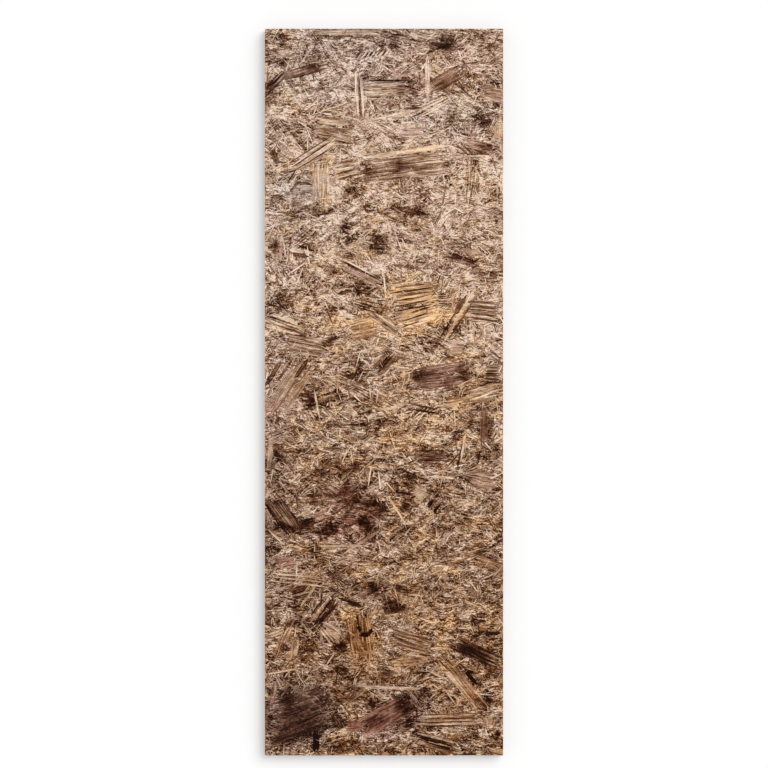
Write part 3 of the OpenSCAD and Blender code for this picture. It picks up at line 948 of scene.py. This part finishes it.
class OSB_OT_board(bpy.types.Operator):
    """Makes the pressed board behind the strands of its faces and edges"""

    bl_idname = "osb.board"
    bl_label = "Board"

    def execute(self, context):
        settings = context.scene.osb_strands
        inset = settings.inset
        top, bottom = HIGH.z - settings.bed, LOW.z + settings.thickness
        places, quads = box_shell([
            spaced(LOW.x + inset, HIGH.x - inset, BOARD_GRID, BOARD_RIM),
            spaced(LOW.y + inset, HIGH.y - inset, BOARD_GRID, BOARD_RIM),
            spaced(bottom, top, EDGE_GRID, EDGE_RIM),
        ])
        mesh = bpy.data.meshes.new("board")
        mesh.from_pydata(places, [], quads)
        for vertex in mesh.vertices:
            bump = noise.noise(vertex.co * 160) * BOARD_ROUGHNESS
            if vertex.co.z > top - 1e-6:
                vertex.co.z += bump
            elif vertex.co.z > bottom + 1e-6:
                vertex.co.x -= math.copysign(abs(bump), vertex.co.x)
                vertex.co.y -= math.copysign(abs(bump), vertex.co.y)
        mesh.materials.append(shared["board"])
        add_piece(add_object("board", mesh), lay_map=lay_board_map)
        return {"FINISHED"}


class OSB_OT_edge_strands(bpy.types.Operator):
    """Lays the strands that the saw has cut through along the four edges"""

    bl_idname = "osb.edge_strands"
    bl_label = "Edge strands"

    def execute(self, context):
        settings = context.scene.osb_strands
        draw = random.Random(settings.seed + 50)
        layers = round((HIGH.z - LOW.z) / settings.layer)
        rows = []
        for layer in range(layers):
            height = layer / (layers - 1)
            corners = [(draw.uniform(*CORNER_REACH), draw.uniform(*CORNER_REACH)) for _ in range(4)]
            rows += self.corner_rows(draw, settings, height, corners)
            for edge in range(4):
                taken = corners[(edge + 1) % 4][edge % 2], corners[edge][edge % 2]
                rows += self.layer_rows(draw, settings, edge, height, taken)
        shape = {"Lengthwise": 6, "Crosswise": 2, "Raggedness": 0.3, "Ripple": 0.0, "Taper": 0.1}
        add_strands("edge_strands", rows, lay_map=lay_edge_map, Thinning=0.7, Curl=0.0001, **shape)
        return {"FINISHED"}

    @staticmethod
    def layer_height(settings, height, wave=0.0):
        low, high = LOW.z + settings.layer * 0.9, HIGH.z - settings.bed - settings.layer * 0.3
        return min(high, max(low, low + height * (high - low) + wave))

    @staticmethod
    def finish(draw):
        return (draw.gauss(0.62, 0.07), draw.gauss(0.3, 0.15), 0.2 * draw.random())

    def corner_rows(self, draw, settings, height, corners):
        """One layer of the strands at the four corners, each of which shows on both edges."""
        rows = []
        for number, reach in enumerate(corners):
            along = draw.randrange(2)
            length, width = reach[along] / 0.7, reach[1 - along] + 0.001
            inward = {along: length * 0.2, 1 - along: width / 2 - 0.001}
            x = (HIGH.x - inward[0]) * (1 if number in (0, 3) else -1)
            y = (HIGH.y - inward[1]) * (1 if number in (0, 1) else -1)
            size = (length, width, settings.layer * draw.uniform(0.72, 0.9))
            place = (x, y, self.layer_height(settings, height))
            rows.append((place, size, (0, 0, math.radians(90 * along)), self.finish(draw), 0.12))
        return rows

    def layer_rows(self, draw, settings, edge, height, taken):
        """One layer of cut strands along an edge, between the strands at its two corners."""
        rows = []
        core = 0.25 < height < 0.75
        turn = math.radians(90 * edge)
        cos, sin = math.cos(turn), math.sin(turn)
        half, reach = (HIGH.y, HIGH.x) if edge % 2 else (HIGH.x, HIGH.y)
        at, last = taken[0] - half - 0.001, half - taken[1] + 0.001
        while at < last - 0.002:
            length = min(draw.uniform(*(CORE_LENGTHS if core else FACE_LENGTHS)), last - at)
            x, y = at + length / 2, reach - settings.cut_depth / 2 - draw.uniform(0.00002, 0.0002)
            wave = noise.noise(Vector((x * 20, height * 3, 90 * edge))) * 0.0009
            if draw.random() > (CORE_VOIDS if core else FACE_VOIDS):
                z = self.layer_height(settings, height, wave)
                thickness = settings.layer * draw.uniform(0.75, 1.15)
                rows.append((
                    (x * cos - y * sin, x * sin + y * cos, z),
                    (length * 1.06, settings.cut_depth, thickness),
                    (0, draw.uniform(-0.0003, 0.0003) / length, turn),
                    self.finish(draw),
                    0.12,
                ))
            at += length
        return rows


class OSB_OT_strands(bpy.types.Operator):
    """Lays the scattered strands, over them the ones that show whole, and those of the back"""

    bl_idname = "osb.strands"
    bl_label = "Strands"

    def execute(self, context):
        settings = context.scene.osb_strands
        draw = random.Random(settings.seed)
        scattered = [self.scattered(draw, settings) for _ in range(settings.count)]
        shown = [sliver for row in SHOWN_STRANDS for sliver in self.shown(draw, settings, *row)]
        shown += [line for row in COMBS for line in self.comb(draw, settings, *row)]
        shown = [self.lowered(number, row) for number, row in enumerate(shown)]
        back = [self.back(draw, settings) for _ in range(settings.count // 2)]
        wide = {"Lengthwise": 7, "Crosswise": 3, "Raggedness": 0.8, "Taper": 0.25}
        slim = {"Lengthwise": 10, "Crosswise": 2, "Raggedness": 0.8, "Taper": 0.85}
        add_strands("face_strands", scattered, Ripple=0.0016, Curl=0.0001, **wide)
        add_strands("shown_strands", shown, worn=0.8, Ripple=0.0006, Curl=0.0001, **slim)
        add_strands("back_strands", back, outward=-1, Ripple=0.001, Curl=0.0, **wide)
        return {"FINISHED"}

    def back(self, draw, settings):
        """A strand of the back, which is pressed flat and is neither burnt nor brushed."""
        length = draw.uniform(0.5, 1.0) * settings.longest
        width = draw.uniform(0.4, 1.0) * settings.widest
        z = LOW.z + settings.thickness * draw.uniform(0.5, 1.2)
        return (
            (draw.uniform(LOW.x, HIGH.x), draw.uniform(LOW.y, HIGH.y), z),
            (length, width, settings.thickness),
            (0, 0, draw.gauss(0, 0.5)),
            (draw.gauss(0.66, 0.05), draw.gauss(0.35, 0.12), 0.25 * draw.random()),
            0.1,
        )

    def shown(self, draw, settings, x, y, length, width, turn, light, hue=0, lines=10):
        """Slivers that lie side by side as one strand, as brushing has split it along its grain."""
        slivers = max(1, round(width / SLIVER))
        turn = math.radians(turn)
        rows = []
        for number in range(slivers):
            long = length * draw.uniform(0.82, 1.0)
            along = (length - long) / 2 * draw.uniform(-1, 1)
            across = ((number + 0.5) / slivers - 0.5) * width
            place_x = x + along * math.cos(turn) - across * math.sin(turn)
            place_y = y + along * math.sin(turn) + across * math.cos(turn)
            turned = turn + draw.gauss(0, 0.012)
            finish = (light / 100 + 0.03 + draw.gauss(0, 0.04), hue / 100, lines / 100)
            deep = draw.uniform(0.08, 0.22) if slivers > 1 else 0.04
            size = (long, width / slivers * 1.12)
            rows.append(self.sliver(settings, (place_x, place_y), deep, size, turned, finish))
        return rows

    def comb(self, draw, settings, x, y, last_x, last_y, count, length, width, turn, last_turn, *look):
        """Fine lines side by side, each a little out of place."""
        light, hue = filled(look, 2)
        rows = []
        for part in np.linspace(0, 1, count):
            place_x = x + (last_x - x) * part + draw.gauss(0, 0.7)
            place_y = y + (last_y - y) * part + draw.gauss(0, 0.7)
            turned = math.radians(turn + (last_turn - turn) * part + draw.gauss(0, 1.2))
            size = (length * draw.uniform(0.75, 1.05), width * draw.uniform(0.8, 1.2))
            finish = (light / 100 + draw.gauss(0, 0.04), hue / 100, 0.1)
            rows.append(self.sliver(settings, (place_x, place_y), 0.02, size, turned, finish))
        return rows

    @staticmethod
    def lowered(number, row):
        """The sliver a little lower, each by its own step, so that no two faces lie in one plane."""
        x, y, z = row[0]
        return ((x, y, z - number * GOLDEN_SHARE % 1 * SHOWN_SPREAD), *row[1:])

    @staticmethod
    def sliver(settings, place, deep, size, turn, finish):
        """One sliver near the top of the face; place, depth and size are in millimetres."""
        z = HIGH.z - settings.thickness / 2 - deep * MM
        size = (size[0] * MM, size[1] * MM, settings.thickness)
        return ((place[0] * MM, place[1] * MM, z), size, (0, 0, turn), finish, 0.25)

    @staticmethod
    def scattered(draw, settings):
        length = draw.uniform(settings.shortest, settings.longest)
        width = settings.narrowest + (settings.widest - settings.narrowest) * draw.random() ** 1.6
        turn = draw.gauss(0, 0.6)
        deep = draw.uniform(0.35, 1.0) * settings.bed
        x, y = draw.uniform(LOW.x, HIGH.x), draw.uniform(LOW.y, HIGH.y)
        lines = 0.7 * draw.random() ** 2
        return (
            (x, y, HIGH.z - settings.thickness - deep + 0.0002),
            (length, width, settings.thickness),
            (draw.gauss(0, 0.006), draw.gauss(0, 0.002), turn),
            (draw.gauss(0.55, 0.05), draw.gauss(0.05, 0.15), lines),
            1.0 - 0.6 * lines,
        )


class OSB_OT_fibres(bpy.types.Operator):
    """Strews the torn splinters and the brushed fibres over the charred face"""

    bl_idname = "osb.fibres"
    bl_label = "Fibres"

    def execute(self, context):
        settings = context.scene.osb_fibres
        area = (HIGH.x - LOW.x) * (HIGH.y - LOW.y)
        # name, depth of the layer, share of the count, of the length and of the width, bow, darkness
        for number, (name, deep, share, long, wide, bow, dark) in enumerate((
            ("splinters", 0.0007, 0.5, 1.4, 0.8, 0.08, 0.5),
            ("fibres_low", 0.0006, 0.9, 0.6, 0.4, 0.35, 0.5),
            ("fibres_high", 0.0005, 0.9, 0.45, 0.34, 0.35, 0.3),
        )):
            ob = run_tree(
                name, rectangle(name, LOW, HIGH, HIGH.z - deep), shared["strew"],
                Density=settings.count * share / area, Length=settings.length * long,
                Width=settings.width * wide, Depth=0.0005, Swirl=settings.swirl, Bow=bow,
                Darkness=dark, Seed=settings.seed + 100 * number, Finish=shared["fibre"],
            )
            saw_to_size(ob)
            add_piece(ob)
        return {"FINISHED"}


class OSB_OT_stage(bpy.types.Operator):
    """Makes the floor, the lights and the camera"""

    bl_idname = "osb.stage"
    bl_label = "Stage"

    def execute(self, context):
        scene, settings = context.scene, context.scene.osb_stage
        scene.view_settings.view_transform = "Standard"
        self.floor(scene.osb_colours.floor)
        sun = bpy.data.lights.new("key", "SUN")
        sun.energy, sun.angle = settings.key, math.radians(50)
        add_object("key", sun).rotation_euler = Vector((0.72, 0.66, 1)).to_track_quat("Z", "Y").to_euler()
        scene.world = bpy.data.worlds.new("studio")
        scene.world.use_nodes = True
        nodes = Nodes(scene.world.node_tree)
        sky = scene.world.node_tree.nodes["Background"].inputs
        sky["Color"].default_value = (1, 1, 1, 1)
        nodes.feed(sky["Strength"], nodes.ranged(self.seen(nodes), 0.0, 1.0, settings.fill, 1.0))
        camera = bpy.data.cameras.new("camera")
        camera.lens, camera.clip_end = settings.lens, 100
        scene.camera = add_object("camera", camera)
        away = settings.field / 2 / math.tan(math.atan(camera.sensor_width / 2 / camera.lens))
        scene.camera.location = (0, CAMERA_SHIFT, HIGH.z + away)
        return {"FINISHED"}

    @staticmethod
    def seen(nodes):
        """1 for what is looked at directly, mirrored or through glass, and 0 for light on the panel."""
        path = nodes.outs("ShaderNodeLightPath")
        seen = nodes.math("MAXIMUM", path["Is Camera Ray"], path["Is Glossy Ray"])
        return nodes.math("MAXIMUM", seen, path["Is Transmission Ray"])

    def floor(self, colour):
        """A floor that looks white, and that still takes the panel's shadow."""
        material, nodes, shader = Materials.start("Floor", 1.0, specular=0.0)
        shader.inputs["Base Color"].default_value = (*colour, 1)
        shader.inputs["Emission Color"].default_value = (1, 1, 1, 1)
        nodes.feed(shader.inputs["Emission Strength"], self.seen(nodes) * FLOOR_GLOW)
        mesh = rectangle("floor", (-FLOOR_REACH, -FLOOR_REACH), (FLOOR_REACH, FLOOR_REACH), 0)
        mesh.materials.append(material)
        add_object("floor", mesh)


class OSB_PT_panel(bpy.types.Panel):
    """Lists the settings and the steps in the 3D view's sidebar"""

    bl_idname = "OSB_PT_panel"
    bl_label = "Charred OSB Panel"
    bl_space_type = "VIEW_3D"
    bl_region_type = "UI"
    bl_category = "OSB Panel"

    def draw(self, context):
        for owner, group in SETTINGS.items():
            box = self.layout.box()
            for name in group.__annotations__:
                box.prop(getattr(context.scene, owner), name)
        for step in STEPS:
            self.layout.operator(step.bl_idname)


SETTINGS = {
    "osb_strands": OSB_PG_strands, "osb_fibres": OSB_PG_fibres,
    "osb_colours": OSB_PG_colours, "osb_stage": OSB_PG_stage,
}
STEPS = [OSB_OT_stage, OSB_OT_board, OSB_OT_edge_strands, OSB_OT_strands, OSB_OT_fibres]
CLASSES = [*SETTINGS.values(), *STEPS, OSB_PT_panel]


def register():
    for cls in CLASSES:
        bpy.utils.register_class(cls)
    for name, group in SETTINGS.items():
        setattr(bpy.types.Scene, name, PointerProperty(type=group))


def unregister():
    for name in SETTINGS:
        delattr(bpy.types.Scene, name)
    for cls in reversed(CLASSES):
        bpy.utils.unregister_class(cls)


def main():
    register()
    made = Materials(bpy.context.scene.osb_colours)
    shared.update(board=made.board(), strand=made.strands(), fibre=made.fibres())
    shared.update(lay=strand_tree(), strew=fibre_tree())
    for step in STEPS:
        area, action = step.bl_idname.split(".")
        getattr(getattr(bpy.ops, area), action)()


if __name__ == "__main__":
    main()
